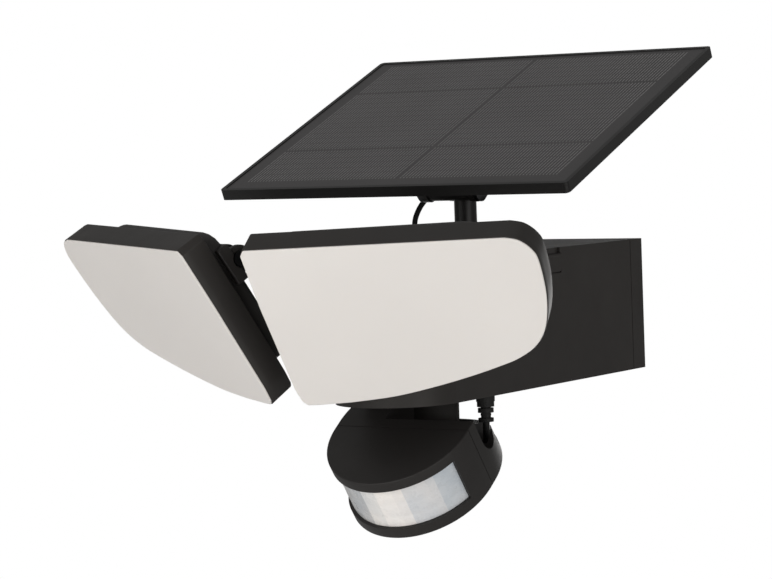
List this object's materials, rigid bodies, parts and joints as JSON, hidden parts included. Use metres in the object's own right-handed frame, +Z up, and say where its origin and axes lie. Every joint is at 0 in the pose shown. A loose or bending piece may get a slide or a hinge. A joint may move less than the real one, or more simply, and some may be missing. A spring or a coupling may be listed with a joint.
{
  "type": "solar flood light",
  "caption": "Wall-mounted solar flood light: lamp heads that swing and tilt on a box housing, a tilting sensor drum below and a tilting solar panel on a pole above.",
  "frame": {"origin": "centre of the four wall screw holes on the wall plate's back face", "axes": "+X along the wall, to the right for a viewer who faces the light; +Y into the wall, square to the wall plate's back face; +Z up"},
  "size_m": [0.3091, 0.3677, 0.2569],
  "materials": {
    "housing_plastic": "matt dark brown-black with a fine moulded grain",
    "head_plastic": "matt dark brown-black with a fine moulded grain",
    "sensor_plastic": "matt black",
    "diffuser": "milky light grey, slightly translucent",
    "window": "silvery blue-white, fine ribs",
    "solar_glass": "charcoal cells under satin glass",
    "frame_plastic": "satin black",
    "rubber": "matt black",
    "steel": "bright zinc plate",
    "dark_steel": "black oxide",
    "pole_metal": "dark powder coat",
    "board": "green solder mask",
    "led_board": "white coated",
    "led": "yellow phosphor",
    "cell_wrap": "blue shrink wrap",
    "holder": "black"
  },
  "bodies": {
    "housing_body": {"wall_plate": "housing_plastic", "housing_seal": "rubber", "housing": "housing_plastic", "lock_screws": "steel", "battery_holder": "holder", "battery_cells": "cell_wrap", "control_board": "board", "board_screws": "steel", "usb_port": "steel", "flap_pin": "steel", "head_bracket": "housing_plastic", "bracket_screws": "steel", "swing_pins": "steel", "sensor_arm": "housing_plastic", "arm_screws": "steel", "sensor_gland": "rubber", "sensor_lead": "rubber"},
    "flap_body": {"port_flap": "rubber"},
    "button_body": {"mode_button": "holder"},
    "pole_body": {"pole_base": "housing_plastic", "base_nut": "steel", "pole": "pole_metal", "pole_head": "pole_metal", "grub_screws": "steel"},
    "panel_body": {"panel_frame": "frame_plastic", "solar_laminate": "solar_glass", "panel_back": "frame_plastic", "junction_box": "frame_plastic", "lead_gland": "rubber", "panel_bracket": "pole_metal", "bracket_bolts": "steel", "panel_bolt": "dark_steel", "panel_lead": "rubber"},
    "right_arm": {"right_knuckle": "head_plastic"},
    "right_head": {"right_shell": "head_plastic", "right_bezel": "head_plastic", "right_diffuser": "diffuser", "right_gasket": "rubber", "right_board": "led_board", "right_leds": "led", "right_tilt_pin": "dark_steel"},
    "left_arm": {"left_knuckle": "head_plastic"},
    "left_head": {"left_shell": "head_plastic", "left_bezel": "head_plastic", "left_diffuser": "diffuser", "left_gasket": "rubber", "left_board": "led_board", "left_leds": "led", "left_tilt_pin": "dark_steel"},
    "sensor_body": {"drum_front": "sensor_plastic", "drum_rear": "sensor_plastic", "sensor_window": "window", "sensor_board": "board", "motion_element": "steel", "sensor_pivot": "steel", "drum_screws": "steel"}
  },
  "joints": [
    {"name": "flap_hinge", "type": "hinge", "parent": "housing_body", "child": "flap_body", "pos_m": [0.0343, -0.111, 0.0336], "axis": [0, -1, 0], "range_deg": [0, 95]},
    {"name": "button_press", "type": "slide", "parent": "housing_body", "child": "button_body", "axis": [-1, 0, 0], "range_m": [0, 0.0008], "stiffness_N_per_m": 350, "springref_m": -0.001},
    {"name": "pole_turn", "type": "hinge", "parent": "housing_body", "child": "pole_body", "pos_m": [0, -0.138, 0.041], "axis": [0, 0, 1], "range_deg": [-20, 20]},
    {"name": "panel_tilt", "type": "hinge", "parent": "pole_body", "child": "panel_body", "pos_m": [0, -0.1515, 0.0725], "axis": [1, 0, 0], "range_deg": [-12, 10], "deforming": ["panel_lead"]},
    {"name": "right_swing", "type": "hinge", "parent": "housing_body", "child": "right_arm", "pos_m": [0.0128, -0.31, 0.044], "axis": [0, 0, 1], "range_deg": [-7, 22.5]},
    {"name": "right_tilt", "type": "hinge", "parent": "right_arm", "child": "right_head", "pos_m": [0.01791, -0.3283, 0.0458], "axis": [0.9632, 0.2689, 0], "range_deg": [-30, 12]},
    {"name": "left_swing", "type": "hinge", "parent": "housing_body", "child": "left_arm", "pos_m": [-0.0128, -0.31, 0.044], "axis": [0, 0, 1], "range_deg": [-12, 17.5]},
    {"name": "left_tilt", "type": "hinge", "parent": "left_arm", "child": "left_head", "pos_m": [-0.02154, -0.32687, 0.0458], "axis": [0.8878, -0.4602, 0], "range_deg": [-30, 12]},
    {"name": "sensor_tilt", "type": "hinge", "parent": "housing_body", "child": "sensor_body", "pos_m": [0, -0.17496, -0.06002], "axis": [1, 0, 0], "range_deg": [-10, 25], "deforming": ["sensor_lead"]}
  ]
}
